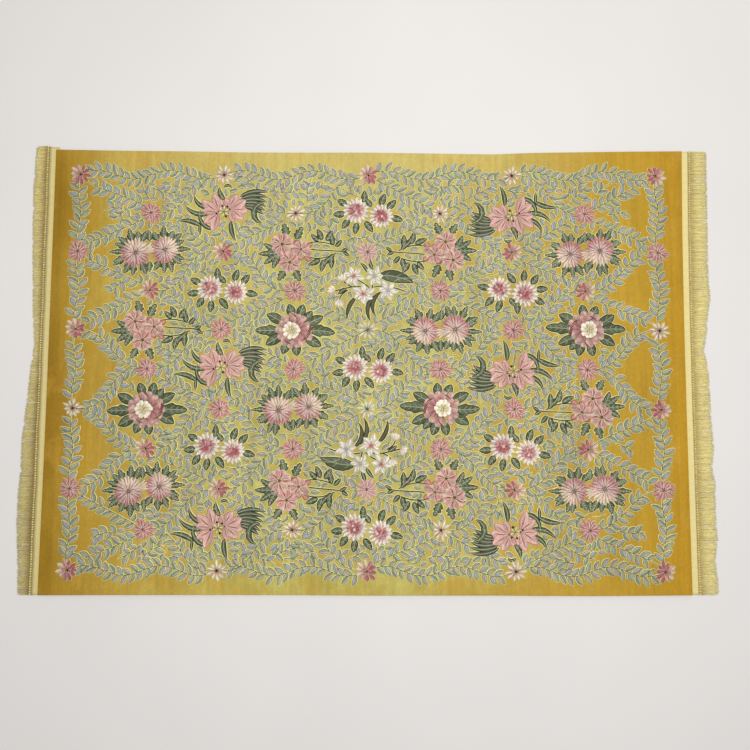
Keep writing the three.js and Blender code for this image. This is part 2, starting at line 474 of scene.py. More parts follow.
def make_vines():
    """The lattice of leafy vines, and the border vine around it."""
    for side in (-1, 1):
        for row in range(-LAST_ROW, LAST_ROW, 2):
            a, b = site(side * LAST_COLUMN, row), site(side * LAST_COLUMN, row + 2)
            leafy_vine(vine_bag(side), border_wave(a, b, END_WAVE), END_VINE)
        for column in range(-LAST_COLUMN, LAST_COLUMN, 2):
            a, b = site(column, side * LAST_ROW), site(column + 2, side * LAST_ROW)
            points = border_wave(a, b, LONG_WAVE)
            leafy_vine(vine_bag(column), points[::-1] if column < 0 else points, LONG_VINE)
    for column in range(-LAST_COLUMN, LAST_COLUMN):
        for row in rosette_rows(column):
            for step in (1, -1):
                if abs(row + step) > LAST_ROW:
                    continue
                a, b = site(column, row), site(column + 1, row + step)
                points = diagonal_link(a, b, chance.choice((-1, 1)) * chance.uniform(0.10, 0.30))
                leafy_vine(vine_bag(column), points[::-1] if column < 0 else points, FIELD_VINE)


Twig = namedtuple("Twig", "length room")
TWIGS = (Twig(0.115, 0.04), Twig(0.085, 0.04), Twig(0.055, 0.0))
TWIG_REACH = 0.009
TWIG_TRIES = 5
LEAF_TRIES = 4
# Past this distance from the middle the ground stays more open
OPEN_END = 0.92
FILL_FRONT = -0.79
FILL_BACK = 0.77


def open_spots(reach, pitch, skip):
    """Places that are still open, in a shuffled order. Past OPEN_END most of them are skipped."""
    spots = [(x, y) for x in np.arange(-reach, reach, pitch)
             for y in np.arange(FILL_FRONT, FILL_BACK, pitch)]
    chance.shuffle(spots)

    def still_open():
        for x, y in spots:
            if not taken.share([(x, y)]) and not (abs(x) > OPEN_END and chance.random() < skip):
                yield x, y

    return still_open


def grow_twigs():
    """Side twigs with leaves, where the vines leave the field open."""
    still_open = open_spots(reach=1.02, pitch=0.014, skip=0.75)
    for twig in TWIGS:
        for x, y in still_open():
            for _ in range(TWIG_TRIES):
                turn = chance.choice((-1, 1)) * chance.uniform(20, 70)
                spine = bent_spine(x, y, chance.uniform(0, 360), twig.length, turn, 9)
                if taken.share(corridor(spine, TWIG_REACH)) <= twig.room:
                    leafy_vine(vine_bag(x), spine, TWIG_VINE)
                    break


def fill_with_leaves():
    """Single small leaves in what is still open, away from the two ends."""
    for x, y in open_spots(reach=0.98, pitch=0.010, skip=0.8)():
        for _ in range(LEAF_TRIES):
            if vine_leaf(vine_bag(x), x, y, chance.uniform(0, 360), length=0.039, width=0.0182, allow=0.04):
                break


# Flowers and sprays. Lengths are in millimetres from the middle of the spray, angles in degrees.

PETAL_STATIONS = 7
# Painted shade on one side of each petal and painted light on the other, as factors of its colour
PETAL_PAINTED_SHADE = 0.74
PETAL_PAINTED_LIGHT = 1.06
PETAL_RIM = 0.0011
PETAL_CORE = 0.0006
PETAL_RISE = 0.0015
PETAL_LINE_RISE = 0.0020
# How far a petal without a halo stands out where it meets the ground
PETAL_FOOT = 0.0006
DOT_STATIONS = 5
DOT_FOOT = 0.0004
DOT_RISE = 0.0012
DOT_TOP_RISE = 0.0017
# Every second petal or leaf of a row lies this share of a layer higher
ALTERNATE = 0.35

# The colours of a petal: its outline, its base, its tip and the line along its middle
Shades = namedtuple("Shades", "edge base tip line")
MAUVE = Shades("rose_line", "mauve", "pink", "cream")
DEEP_ROSE = Shades("rose_line", "rose", "pink", "pale_pink")
MAROON = Shades("maroon", "maroon", "maroon", "maroon")

# A flower's pale side: the colour of the tips away from it, its direction, how sharply it starts
# and how far it is drawn back
Pale = namedtuple("Pale", "deep towards sharpness shift")

# A row of petals: how many, from an inner to an outer radius, their width, where along them they
# are widest, their layer and colours. The radii and the width are in the unit that petal_rows is
# given, and the halo, rim and core are in metres.
Petals = namedtuple("Petals", "count inner outer width widest fullness step shades turn uneven halo rim"
                    " core dark pale", defaults=(0, 0.08, 0.0, PETAL_RIM, PETAL_CORE, PETAL_PAINTED_SHADE, None))


class Place:
    """A bag of motifs, and the point and turn on the rug where they are laid out."""

    def __init__(self, bag, x, y, turn):
        self.bag, self.x, self.y, self.turn = bag, x, y, turn

    def at(self, x, y):
        """A local point in millimetres, as a place on the rug in metres."""
        angle = math.radians(self.turn)
        x, y = x * MM, y * MM
        return (self.x + x * math.cos(angle) - y * math.sin(angle),
                self.y + x * math.sin(angle) + y * math.cos(angle))


def add_petal(place, x, y, angle, length, width, shades, step, widest=0.6, fullness=0.8,
              bend=0.0, halo=0.0, rim=PETAL_RIM, core=PETAL_CORE, dark=PETAL_PAINTED_SHADE):
    """One petal from a point along an angle, with painted shade on one side and painted light on the other.
    It runs from base to tip.
    """
    spine = bent_spine(*place.at(x, y), place.turn + angle, length * MM, bend)
    half = half_widths(width * MM, PETAL_STATIONS, widest, fullness)
    share = np.linspace(0, 1, PETAL_STATIONS)[:, None]
    base, tip, line, edge = (np.array(vary(c)) for c in (shades.base, shades.tip, shades.line, shades.edge))
    fill = base + (tip - base) * share ** 1.2
    middle = line + (fill - line) * share * 0.7
    height = step * LAYER * MM
    rings = [Ring(-rim, PETAL_RISE + height, fill * dark, np.minimum(fill * PETAL_PAINTED_LIGHT, 1.0)),
             Ring(core, PETAL_LINE_RISE + height, middle, middle, True)]
    if halo:
        outer = vary("halo", 0.05)
        rings = [Ring(halo, HALO_SINK, outer, outer), Ring(0.0, EDGE_RISE + height, edge, edge)] + rings
    else:
        rings = [Ring(PETAL_FOOT, 0.0, edge, edge)] + rings
    add_pad(place.bag, spine, half, rings)
    taken.mark(spine, half + MOTIF_CLEAR)


def facing(angle, pale):
    """How much a petal at an angle is on a flower's pale side, from 0 to 1."""
    share = 0.5 + 0.5 * math.cos(math.radians(angle - pale.towards))
    return min(1.0, max(0.0, pale.sharpness * share - pale.shift))


def petal_rows(place, x, y, unit, *rows):
    """Rows of petals all round a point, each row over the one before."""
    for row in rows:
        for k in range(row.count):
            angle = 360 * (k + chance.uniform(-0.12, 0.12)) / row.count + row.turn
            length = unit * (row.outer - row.inner) * chance.uniform(1 - row.uneven, 1 + row.uneven)
            shades = row.shades
            if row.pale:
                tip = mix(row.pale.deep, "cream", facing(angle, row.pale))
                shades = shades._replace(tip=tip, base=mix(shades.base, tip, 0.35))
            add_petal(place, *step_from(x, y, unit * row.inner, angle), angle, length,
                      unit * row.width * chance.uniform(0.93, 1.07), shades, row.step + ALTERNATE * (k % 2),
                      row.widest, row.fullness, 0.0, row.halo, row.rim, row.core, row.dark)


def dot(place, x, y, radius, shade, step):
    """A small round tuft at a flower's middle."""
    spine = bent_spine(*place.at(x - radius, y), place.turn, 2 * radius * MM, stations=DOT_STATIONS)
    half = radius * MM * np.sin(np.linspace(0, math.pi, DOT_STATIONS))
    height = step * LAYER * MM
    add_pad(place.bag, spine, half, plain_rings(
        vary(shade, 0.06), (DOT_FOOT, 0.0), (0.0, DOT_RISE + height),
        (-radius * 0.4 * MM, DOT_TOP_RISE + height)))


# Rosettes: the small flowers where the vines meet

ROSETTES = {
    "P": DEEP_ROSE,
    "D": Shades("rose_line", "rose", "dusty", "pale_pink"),
    "M": Shades("rose_line", "mauve", "pale_pink", "rose"),
    "W": Shades("rose_line", "cream", "white", "rose"),
    "I": Shades("grey", "cream", "cream", "grey"),
    "K": Shades("rose_line", "rose", "cream", "rose_line"),
    "S": Shades("rose_line", "rose", "cream", "rose_line"),
}
# The kinds of each column's rosettes, from back to front
ROSETTE_LAYOUT = {
    -4: "SPKWPS", -3: "PKPKP", -2: "WKPPKW", -1: "WDPDW", 0: "KMIIMK",
    1: "WDPDW", 2: "WKPPKW", 3: "PKPKP", 4: "SPWKPS",
}


def add_rosette(place, kind):
    """One rosette: broad pink, pale with a dark heart, or half cream and half pink."""
    shades = ROSETTES[kind]
    if kind in "KS":
        pale = Pale("rose", 170, 3.0 if kind == "K" else 2.2, 1.1)
        petal_rows(place, 0, 0, 1,
                   Petals(10, 7, 43, 16, 0.62, 0.75, 0.3, shades, uneven=0.16, halo=0.003, pale=pale),
                   Petals(7, 3, 25, 10, 0.55, 0.8, 1.3, DEEP_ROSE, turn=18))
        dot(place, 3, 0, 4.2, "dark_edge", 2.2)
    elif kind in "WI":
        petal_rows(place, 0, 0, 1,
                   Petals(10, 6, 40, 11, 0.6, 0.75, 0.3, shades, uneven=0.22, halo=0.003, rim=0.0014),
                   Petals(9, 4, 21, 5, 0.5, 0.9, 1.2, shades, turn=20))
        dot(place, 0, 0, 4.8, "dark_leaf" if kind == "I" else "dark_edge", 2.0)
    else:
        petal_rows(place, 0, 0, 1,
                   Petals(12, 8, 46, 16, 0.62, 0.7, 0.3, shades, uneven=0.2, halo=0.003, core=0.0011),
                   Petals(11, 4, 34, 9, 0.55, 0.8, 1.2, MAUVE, turn=18, uneven=0.26, core=0.0010),
                   Petals(6, 2, 17, 8, 0.55, 0.8, 2.0, shades, turn=5))
        dot(place, 0, 0, 3.2, "maroon", 2.6)


def make_rosettes():
    bag = Bag()
    for column, kinds in ROSETTE_LAYOUT.items():
        for row, kind in zip(rosette_rows(column), kinds):
            turn = chance.uniform(-12, 12) + (180 if column > 0 else 0)
            add_rosette(Place(bag, *site(column, row), turn), kind)
    return bag


# The leaves of the sprays. The shades of one are its edge, its two sides and its rib.

Leaf = namedtuple("Leaf", "x y angle length width bend")
DARK = ("dark_edge", "dark_leaf", "dark_leaf_blue", "dark_rib")
STRIPED = ("dark_edge", "dark_leaf_blue", "dark_leaf", "leaf_grey")
BROWN = ("dark_edge", "olive_brown", "dark_leaf", "stem")
SPRAY_RIM = 0.0034
SPRAY_RIB = 0.0010
SPRAY_RISE = 0.0003
BROAD_LEAF_MM = 23
VEIN_HALVES = np.array([0.0, 0.0010, 0.0008, 0.0])
VEIN_INSET = 0.0002
VEIN_FOOT_RISE = 0.0004
VEIN_RISE = 0.0024
VEIN_TURN = 40
VEIN_BEND = 24
VEIN_REACH = 1.05
STALK_STEP = 0.0004

# A ring of leaves around a flower: their angles, where they start and end, and their width
Wreath = namedtuple("Wreath", "x y inner outer width teeth angles")


def leaf_veins(bag, spine, half, shade, step):
    """The side veins of a broad leaf, from its middle line towards its edge."""
    along = np.gradient(spine, axis=0)
    rings = plain_rings(vary(shade), (0.0, VEIN_FOOT_RISE), (-VEIN_INSET, VEIN_RISE + step))
    for k in range(2, len(spine) - 3, 2):
        heading = math.degrees(math.atan2(along[k, 1], along[k, 0]))
        for side in (-1, 1):
            vein = bent_spine(*spine[k], heading + side * VEIN_TURN, half[k] * VEIN_REACH,
                              -side * VEIN_BEND, len(VEIN_HALVES))
            add_pad(bag, vein, VEIN_HALVES, rings)


def spray_leaf(place, leaf, teeth=0, shades=DARK, step=0.0, widest=0.42, fullness=0.75, depth=0.45):
    """One of the dark leaves of a spray, smooth or toothed."""
    stations = 15 if teeth else 9
    spine = bent_spine(*place.at(leaf.x, leaf.y), place.turn + leaf.angle, leaf.length * MM,
                       leaf.bend, stations)
    half = half_widths(leaf.width * MM, stations, widest, fullness, teeth, depth)
    height = SPRAY_RISE + step * LAYER * MM
    add_pad(place.bag, spine, half, leaf_rings(shades, SPRAY_RIM, SPRAY_RIB, height))
    if leaf.width >= BROAD_LEAF_MM:
        leaf_veins(place.bag, spine, half, shades[3], height)
    taken.mark(spine, half + SPRAY_LEAF_CLEAR)


def spray_leaves(place, *rows, **settings):
    """Several leaves, each a row of a Leaf's numbers."""
    for row in rows:
        spray_leaf(place, Leaf(*row), **settings)


def stalks(place, width, *curves):
    """Dark stalks, each along a curve of four points."""
    for points in curves:
        stem(place.bag, bezier([place.at(*p) for p in points], 14), width, "dark_edge", STALK_STEP)


def leaves_around(place, *wreaths):
    for wreath in wreaths:
        for k, angle in enumerate(wreath.angles):
            turned = angle + chance.uniform(-7, 7)
            leaf = Leaf(*step_from(wreath.x, wreath.y, wreath.inner, turned), turned,
                        (wreath.outer - wreath.inner) * chance.uniform(0.82, 1.12),
                        wreath.width * chance.uniform(0.85, 1.1), chance.uniform(-36, 36))
            spray_leaf(place, leaf, wreath.teeth, step=ALTERNATE * (k % 2), widest=0.4, fullness=0.8,
                       depth=0.38)


def mum(place, x, y, radius, pale_side):
    """A chrysanthemum of many narrow petals, cream on the side that faces pale_side."""
    outer = Pale(mix("rose", "pink", 0.4), pale_side, 2.4, 1.1)
    inner = Pale("mauve", pale_side, 1.6, 0.6)
    petal_rows(place, x, y, radius,
               Petals(24, 0.3, 1, 0.21, 0.62, 0.75, 1.4, DEEP_ROSE, uneven=0.14, halo=0.002,
                      core=0.0010, pale=outer),
               Petals(18, 0.16, 0.80, 0.2, 0.6, 0.75, 2.4, MAUVE, turn=7, uneven=0.18,
                      core=0.0010, pale=inner),
               Petals(11, 0.07, 0.52, 0.16, 0.55, 0.85, 3.3, MAUVE._replace(tip="pale_pink"), turn=3,
                      uneven=0.22))
    dot(place, x, y, radius * 0.08, "grey", 4.2)


def spray_mums(place):
    """A pair of chrysanthemums in a wreath of toothed leaves."""
    leaves_around(place, Wreath(-60, -5, 48, 103, 37, 2, (58, 84, 112, 140)),
                  Wreath(-60, -5, 48, 103, 37, 2, (214, 242, 268, 296)),
                  Wreath(58, 5, 46, 99, 37, 2, (-120, -94, -66, -38)),
                  Wreath(58, 5, 46, 99, 37, 2, (36, 64, 90, 118)))
    spray_leaves(place, (-102, -18, 204, 56, 30, -18), (-100, 14, 156, 54, 30, 18),
                 (-106, -4, 178, 68, 26, 20), (96, 20, 28, 52, 30, -18),
                 (96, -12, -26, 54, 30, 18), (100, 4, 2, 70, 26, -20),
                 (-4, 40, 92, 50, 30, 10), (0, -40, 268, 48, 30, 10), teeth=2, depth=0.38)
    for angle in (-2, 14, 30, 46):
        add_petal(place, -28, 2, angle, 50, 14, Shades("tan", "tan", "cream", "cream"), 1.2)
    mum(place, -61, -6, 63, 75)
    mum(place, 62, 6, 59, 40)


# A stroke of colour on a petal: how far it leans from the petal's angle, and its share of its length
Streak = namedtuple("Streak", "lean reach shade")
BLOSSOM_STREAKS = (Streak(-20, 0.66, "maroon"), Streak(-9, 0.78, "coral"), Streak(0, 0.70, "cream"),
                   Streak(10, 0.74, "rose_line"), Streak(20, 0.62, "pale_pink"))
LILY_STREAKS = (Streak(-10, 0.76, "pale_pink"), Streak(0, 0.82, "rose"), Streak(10, 0.74, "cream"),
                Streak(-5, 0.66, "cream"), Streak(5, 0.60, "rose_line"))


def blossom(place, x, y, radius, deep, turn):
    """A round flower of five broad notched petals, pale at their edges."""
    for k in range(5):
        angle = turn + 72 * k + chance.uniform(-5, 5)
        base = step_from(x, y, radius * 0.1, angle)
        shades = Shades("bud", deep if k % 2 else "pink", "pale_pink", deep)
        for lean in (-18, 18):
            add_petal(place, *base, angle + lean, radius * 0.92, radius * 0.54, shades,
                      1.2 + ALTERNATE * (k % 2), 0.68, 0.55, halo=0.002, rim=0.0016, core=0.0012)
        for streak in BLOSSOM_STREAKS:
            add_petal(place, *base, angle + streak.lean, radius * streak.reach, radius * 0.12,
                      Shades("maroon", streak.shade, streak.shade, streak.shade), 2.2, 0.55, 0.8)
    dot(place, x, y, radius * 0.12, "maroon", 3.0)


def spray_blossoms(place):
    """A cluster of round blossoms, a lobed leaf on one side and leafy stalks on the other."""
    stalks(place, 0.0046, [(44, 34), (90, 46), (130, 38), (168, 22)],
           [(60, 10), (105, 2), (160, 4), (222, -6)], [(48, -22), (96, -36), (136, -30), (178, -4)])
    for k, angle in enumerate((118, 148, 180, 212, 242)):
        length = 94 - 0.34 * abs(angle - 180)
        spray_leaf(place, Leaf(-60, -6, angle, length, 36, 0.3 * (angle - 180)), 2,
                   step=0.4 * (2 - abs(k - 2)), fullness=0.7, depth=0.3)
    spray_leaves(place, (-34, 66, 104, 56, 46, 10), (4, 52, 62, 60, 44, -14),
                 (-44, -80, 236, 48, 42, 10), (-4, -78, 296, 52, 42, -10),
                 teeth=3, fullness=0.55, depth=0.5)
    spray_leaves(place, (112, 46, 112, 54, 27, 14), (130, 42, 58, 52, 26, -14),
                 (158, 24, 104, 56, 26, 12), (168, 16, 48, 42, 21, -12), (96, 42, 134, 44, 23, 10),
                 (104, -34, 204, 56, 26, -12), (122, -34, 254, 56, 27, 14),
                 (152, -20, 268, 56, 27, 10), (162, -12, 222, 42, 22, -10),
                 (140, -28, 236, 40, 22, 10), (190, -4, 28, 36, 16, 10), (200, -6, -34, 32, 15, -10))
    for x, y, angle in ((-22, 4, 20), (-30, -4, -60), (-10, 26, 40), (2, -18, -20), (-46, -8, 200),
                        (36, -20, -30), (40, 22, 20)):
        add_petal(place, x, y, angle, 34, 24, Shades("maroon", "coral", "pink", "cream"), 0.8,
                  rim=0.0016)
    blossom(place, 24, 10, 38, "rose", 40)
    blossom(place, -54, 33, 49, "rose", 10)
    blossom(place, -23, -44, 46, "coral", -14)
    blossom(place, 56, -10, 15, "rose", 0)


# The leaves that stand out from behind a peony, from where they start to their tips
LeafRay = namedtuple("LeafRay", "angle tip width teeth")
PEONY_LEAF_START = 46
PEONY_LEAVES = (
    LeafRay(-4, 170, 54, 2), LeafRay(26, 132, 42, 0), LeafRay(48, 108, 34, 0),
    LeafRay(-30, 132, 44, 0), LeafRay(72, 112, 40, 0), LeafRay(104, 110, 40, 0),
    LeafRay(152, 132, 44, 0), LeafRay(182, 162, 52, 2), LeafRay(210, 134, 44, 0),
    LeafRay(246, 112, 40, 0), LeafRay(278, 110, 40, 0),
)
PEONY_PINK = Shades("maroon", "rose_line", "pale_pink", "rose")
PEONY_CREAM = Shades("tan", "cream", "white", "cream")


def spray_peony(place):
    """A full ruffled flower with a cream heart to one side, in a star of broad leaves."""
    for ray in PEONY_LEAVES:
        leaf = Leaf(*step_from(0, 0, PEONY_LEAF_START, ray.angle), ray.angle,
                    ray.tip - PEONY_LEAF_START, ray.width, chance.uniform(-24, 24))
        spray_leaf(place, leaf, ray.teeth, step=0.3 * ray.teeth, widest=0.52, fullness=0.7, depth=0.34)
    petal_rows(place, 0, -4, 1, Petals(14, 34, 77, 29, 0.72, 0.5, 1.4, PEONY_PINK, uneven=0.13,
                                       halo=0.0022, rim=0.0012, core=0.0014))
    petal_rows(place, 2, -4, 1, Petals(9, 26, 66, 38, 0.72, 0.5, 2.4, PEONY_PINK._replace(line="pink"),
                                       turn=20, uneven=0.14, rim=0.0018))
    for k, angle in enumerate((-78, -44, -8, 28, 62)):
        add_petal(place, 12, -4, angle, 42 + 3 * (k % 2), 38, Shades("maroon", "maroon", "pink", "pink"),
                  3.0 + 0.3 * (k % 2), 0.7, 0.5, 20, rim=0.0024)
    for x, y, angle, length in ((24, -46, 40, 62), (38, -34, 58, 66), (52, -14, 76, 46),
                                (10, 40, 132, 44), (-44, -34, -34, 50)):
        add_petal(place, x, y, angle, length, 7, MAROON, 3.9, 0.5, 0.8, 62)
    dot(place, -9, -5, 38, "maroon", 3.3)
    petal_rows(place, -10, -3, 1,
               Petals(10, 9, 38, 22, 0.68, 0.5, 4.0, PEONY_CREAM, uneven=0.12, dark=0.88),
               Petals(7, 4, 25, 17, 0.64, 0.5, 4.8, Shades("tan", "stamen", "cream", "leaf_grey"),
                      turn=20, uneven=0.2, dark=0.84),
               Petals(5, 0, 13, 8, 0.6, 0.6, 5.5, Shades("stamen", "stamen", "cream", "cream"), dark=0.9))


# A petal of a lily, from the flower's middle
Blade = namedtuple("Blade", "angle length width bend")


def lily(place, x, y, *blades):
    """A flower of pointed petals seen from the side: pale, with rose rims and streaks."""
    for k, blade in enumerate(blades):
        step = 1.0 + 0.45 * (k % 3)
        add_petal(place, x, y, blade.angle, blade.length, blade.width,
                  Shades("rose", "pink", "pale_pink", "cream" if k % 2 else "pink"), step, 0.52, 0.80,
                  blade.bend, 0.0024, 0.0034, dark=0.80)
        for streak in LILY_STREAKS:
            add_petal(place, x, y, blade.angle + streak.lean, blade.length * streak.reach,
                      blade.width * 0.15, Shades("rose_line", "rose", streak.shade, streak.shade),
                      step + 0.7, 0.6, 0.8, blade.bend)


def spray_lilies(place):
    """Two lilies with long curved blades and a scrolled leaf."""
    spray_leaves(place, (-34, -64, 124, 128, 21, -128), (-94, -52, 165, 106, 23, 50),
                 (-98, -44, 268, 48, 15, 14), (-54, 4, 160, 124, 23, -84), (-50, 26, 140, 104, 21, -96),
                 (30, -34, 282, 92, 22, 40), (8, 56, 110, 64, 24, -70), (6, 108, 350, 44, 13, -150),
                 fullness=0.8, widest=0.38)
    for k in range(6):
        leaf = Leaf(70 + 4 * k, 66 - 9 * k, 6 - 6 * k, 128 - 8 * k, 22, -50 + 3 * k)
        spray_leaf(place, leaf, shades=STRIPED, step=ALTERNATE * k)
    spray_leaf(place, Leaf(174, 34, 262, 132, 27, 178), step=2.6, widest=0.5)
    lily(place, -18, 6, Blade(106, 84, 42, 18), Blade(142, 90, 44, -24), Blade(176, 74, 38, 18),
         Blade(214, 82, 42, -20), Blade(250, 90, 42, 14), Blade(78, 56, 32, 0))
    lily(place, 26, 14, Blade(108, 52, 32, 0), Blade(62, 74, 42, -18), Blade(28, 82, 46, 12),
         Blade(-6, 80, 46, -10), Blade(-38, 76, 42, -14), Blade(-72, 60, 32, 10))
    for k in range(6):
        add_petal(place, 2, 6, 60 * k + 20, 26, 7, Shades("stamen", "cream", "halo", "cream"), 4.2)
    for x, y in ((-4, 30), (10, -14), (-28, -2), (18, 26)):
        dot(place, x, y, 4.6, "dark_edge", 4.6)


HEART_TUFTS = 15
GOLDEN_ANGLE = 2.39996
DAISY_WHITE = Shades("tan", "bud", "white", "white")


def daisy(place, x, y, radius):
    """A white pointed flower with a heart of rose tufts."""
    petal_rows(place, x, y, radius,
               Petals(16, 0.45, 1, 0.29, 0.45, 0.8, 1.3, DAISY_WHITE, uneven=0.09, halo=0.0024,
                      rim=0.0014),
               Petals(15, 0.4, 0.84, 0.23, 0.5, 0.8, 2.1, DAISY_WHITE, turn=11, uneven=0.1,
                      rim=0.0014),
               Petals(13, 0.2, 0.64, 0.24, 0.6, 0.65, 2.8,
                      Shades("rose_line", "rose", "pale_pink", "rose"), turn=13, uneven=0.16))
    dot(place, x, y, radius * 0.5, "rose_line", 1.6)
    for k in range(HEART_TUFTS):
        reach = radius * 0.46 * math.sqrt((k + 0.3) / HEART_TUFTS)
        angle = GOLDEN_ANGLE * k
        shade = chance.choice(("rose", "rose", "pink", "pink", "mauve", "rose_line", "pale_pink"))
        dot(place, x + reach * math.cos(angle), y + reach * math.sin(angle),
            radius * chance.uniform(0.09, 0.13), shade, 3.6 + 0.3 * (k % 3))


def spray_daisies(place):
    """A pair of white daisies with rose hearts and a few leaves."""
    spray_leaves(place, (-20, 44, 88, 54, 29, 20), (16, 30, 128, 44, 25, -14), (52, 36, 70, 54, 31, -14),
                 (78, 24, 46, 54, 31, 16), (96, -14, -12, 54, 31, -14), (-90, 30, 150, 46, 31, 16),
                 (-94, -4, 186, 52, 31, -14), (-76, -28, 236, 50, 31, 12),
                 (-42, -40, 262, 52, 30, 14), (-12, -34, 308, 58, 30, -16), fullness=0.68)
    daisy(place, -50, 10, 57)
    daisy(place, 56, -10, 53)


def star(place, x, y, size, heart):
    """A six-pointed white flower with a small tinted heart."""
    turn = chance.uniform(0, 60)
    petal_rows(place, x, y, size,
               Petals(6, 4 / size, 1, 0.58, 0.46, 0.8, 1.4, Shades("grey", "leaf_grey", "white", "grey"),
                      turn, uneven=0.16, halo=0.004, rim=0.0015),
               Petals(6, 4 / size, 0.74, 0.2, 0.5, 0.8, 2.2, Shades("tan", "white", "white", "white"),
                      turn + 10),
               Petals(6, 2 / size, 0.5, 0.2, 0.5, 0.7, 2.8, Shades(heart, heart, "cream", heart), turn))
    dot(place, x, y, size * 0.1, heart, 3.6)


def spray_stars(place):
    """White star flowers and buds on stalks, with curved blades and one large leaf."""
    stalks(place, 0.0050, [(-20, 16), (-60, 24), (-95, 6), (-150, -4)],
           [(-60, 14), (-84, 26), (-94, 30), (-100, 44)], [(-80, 4), (-100, -10), (-112, -20), (-116, -36)],
           [(20, 14), (60, 26), (110, 18), (160, -4)], [(-56, 56), (-36, 40), (-14, 34), (10, 10)],
           [(30, 58), (26, 40), (22, 30), (18, 8)])
    spray_leaves(place, (46, 64, -12, 150, 54, -34), (24, 88, 108, 60, 18, -40),
                 (2, 74, 128, 58, 17, 36), (104, 34, 8, 92, 16, -70), (-86, 10, 216, 46, 20, 20),
                 fullness=0.8)
    spray_leaves(place, (-40, -22, 246, 112, 20, 60), (30, -18, 262, 122, 20, 84),
                 (58, -4, 258, 122, 19, 104), shades=BROWN, fullness=0.8)
    for x, y, size, heart in ((-58, 62, 42, "rose"), (28, 60, 41, "leaf_grey"),
                              (-18, -14, 48, "rose"), (84, 2, 44, "leaf_lavender")):
        star(place, x, y, size, heart)
    for x, y, middle in ((-134, -6, 150), (-112, -34, 260), (-100, 36, 110)):
        for lean in (-26, 0, 26):
            add_petal(place, x, y, middle + lean, 34, 18, Shades("tan", "bud", "white", "mauve"),
                      1.2 + 0.01 * lean, halo=0.0026)


Spray = namedtuple("Spray", "name add")
SPRAYS = {
    "a": Spray("mums", spray_mums), "b": Spray("blossoms", spray_blossoms),
    "c": Spray("peonies", spray_peony), "d": Spray("lilies", spray_lilies),
    "e": Spray("daisies", spray_daisies), "f": Spray("stars", spray_stars),
}
# Which spray stands in each column from back to front. A capital letter stands upright, a small
# one is turned half round.
SPRAY_LAYOUT = {-3: "ABCA", -2: "DEDED", -1: "BCAB", 0: "EFEfE", 1: "bacb", 2: "dedEd", 3: "acba"}


def make_sprays():
    bags = {kind: Bag() for kind in SPRAYS}
    for column, kinds in SPRAY_LAYOUT.items():
        rows = (4, 2, 0, -2, -4) if column % 2 == 0 else (3, 1, -1, -3)
        for row, letter in zip(rows, kinds):
            kind = letter.lower()
            turn = (0 if letter.isupper() else 180) + chance.uniform(-3, 3)
            SPRAYS[kind].add(Place(bags[kind], *site(column, row), turn))
    return bags


# The pile field

PileLevel = namedtuple("PileLevel", "height inset")
PILE_SIDE = [PileLevel(0.0, 0.0010), PileLevel(0.0015, 0.0), PileLevel(0.0050, 0.0004),
             PileLevel(0.0078, 0.0003), PileLevel(0.0094, 0.0012), PileLevel(0.0102, 0.0032)]
TOP_INSET = 0.0058
GRID_COLUMNS = 133
GRID_ROWS = 93


def table_value(rows, place, value, at):
    return np.interp(at, [getattr(r, place) for r in rows], [getattr(r, value) for r in rows])


def field_point(u, v):
    """A point of the pile's outline square: u runs left to right, v front to back."""
    left = table_value(END_EDGES, "across", "left", v)
    right = table_value(END_EDGES, "across", "right", v)
    front = table_value(LONG_EDGES, "along", "front", u)
    back = table_value(LONG_EDGES, "along", "back", u)
    return left + (right - left) * u, front + (back - front) * v


def make_field(material):
    """The pile field: a closed slab with a soft rounded edge."""
    u, v = np.meshgrid(np.linspace(0, 1, GRID_COLUMNS), np.linspace(0, 1, GRID_ROWS))
    grid = np.stack(field_point(u, v), axis=-1).reshape(-1, 2)
    border = grid_border(GRID_COLUMNS, GRID_ROWS)
    edge = grid[border]
    middle = edge.mean(axis=0)
    reach = np.abs(edge - middle).max(axis=0)
    count = len(edge)

    def drawn_in(points, inset):
        return middle + (points - middle) * (1 - inset / reach)

    top = drawn_in(grid, TOP_INSET)
    points = [np.column_stack([drawn_in(edge, level.inset), np.full(count, level.height)])
              for level in PILE_SIDE]
    points += [np.column_stack([top, GROUND + undulation(*top.T)]), [[*middle, 0.0]]]
    start = len(PILE_SIDE) * count
    rings = [*np.arange(start).reshape(-1, count), start + border]
    quads = np.vstack([strip(a, b) for a, b in zip(rings, rings[1:])]
                      + [start + grid_faces(GRID_COLUMNS, GRID_ROWS)])
    under = np.stack([np.roll(rings[0], -1), rings[0], np.full(count, start + len(grid))], axis=1)
    loops = np.concatenate([quads.ravel(), under.ravel()])
    bag = Bag()
    bag.add(np.vstack(points), loops, np.repeat([4, 3], [len(quads), count]),
            np.tile(COLOURS["gold"], (len(loops), 1)))
    return bag.to_object("pile_field", material)


# The webs and fringes

# The two ends, and how they differ: how far the web lifts at its outer edge, where on it the painted
# shadow and dirt of its edge start and its tone, which is painted shade at the darker left end; the
# fringe's height at the knots, how dark the painted shade and dirt at its roots are, how much of the
# root colour its tips keep, how soon it fades and how its tone changes along the end
RugEnd = namedtuple("RugEnd", "name side edge lift dark_from tone knot_height root keep fade slope"
                    " tips partings")
LEFT = RugEnd("left", -1, LONG_EDGES[0], 0.0042, 0.60, 0.86, 0.0060, (0.62, 0.52, 0.42), 0.22, 1.9,
              (0.92, 0.12), LEFT_TIPS, LEFT_PARTINGS)
RIGHT = RugEnd("right", 1, LONG_EDGES[-1], 0.0008, 0.86, 1.0, 0.0030, (1.0, 1.0, 1.0), 0.0, 2.6,
               (1.0, 0.0), RIGHT_TIPS, RIGHT_PARTINGS)


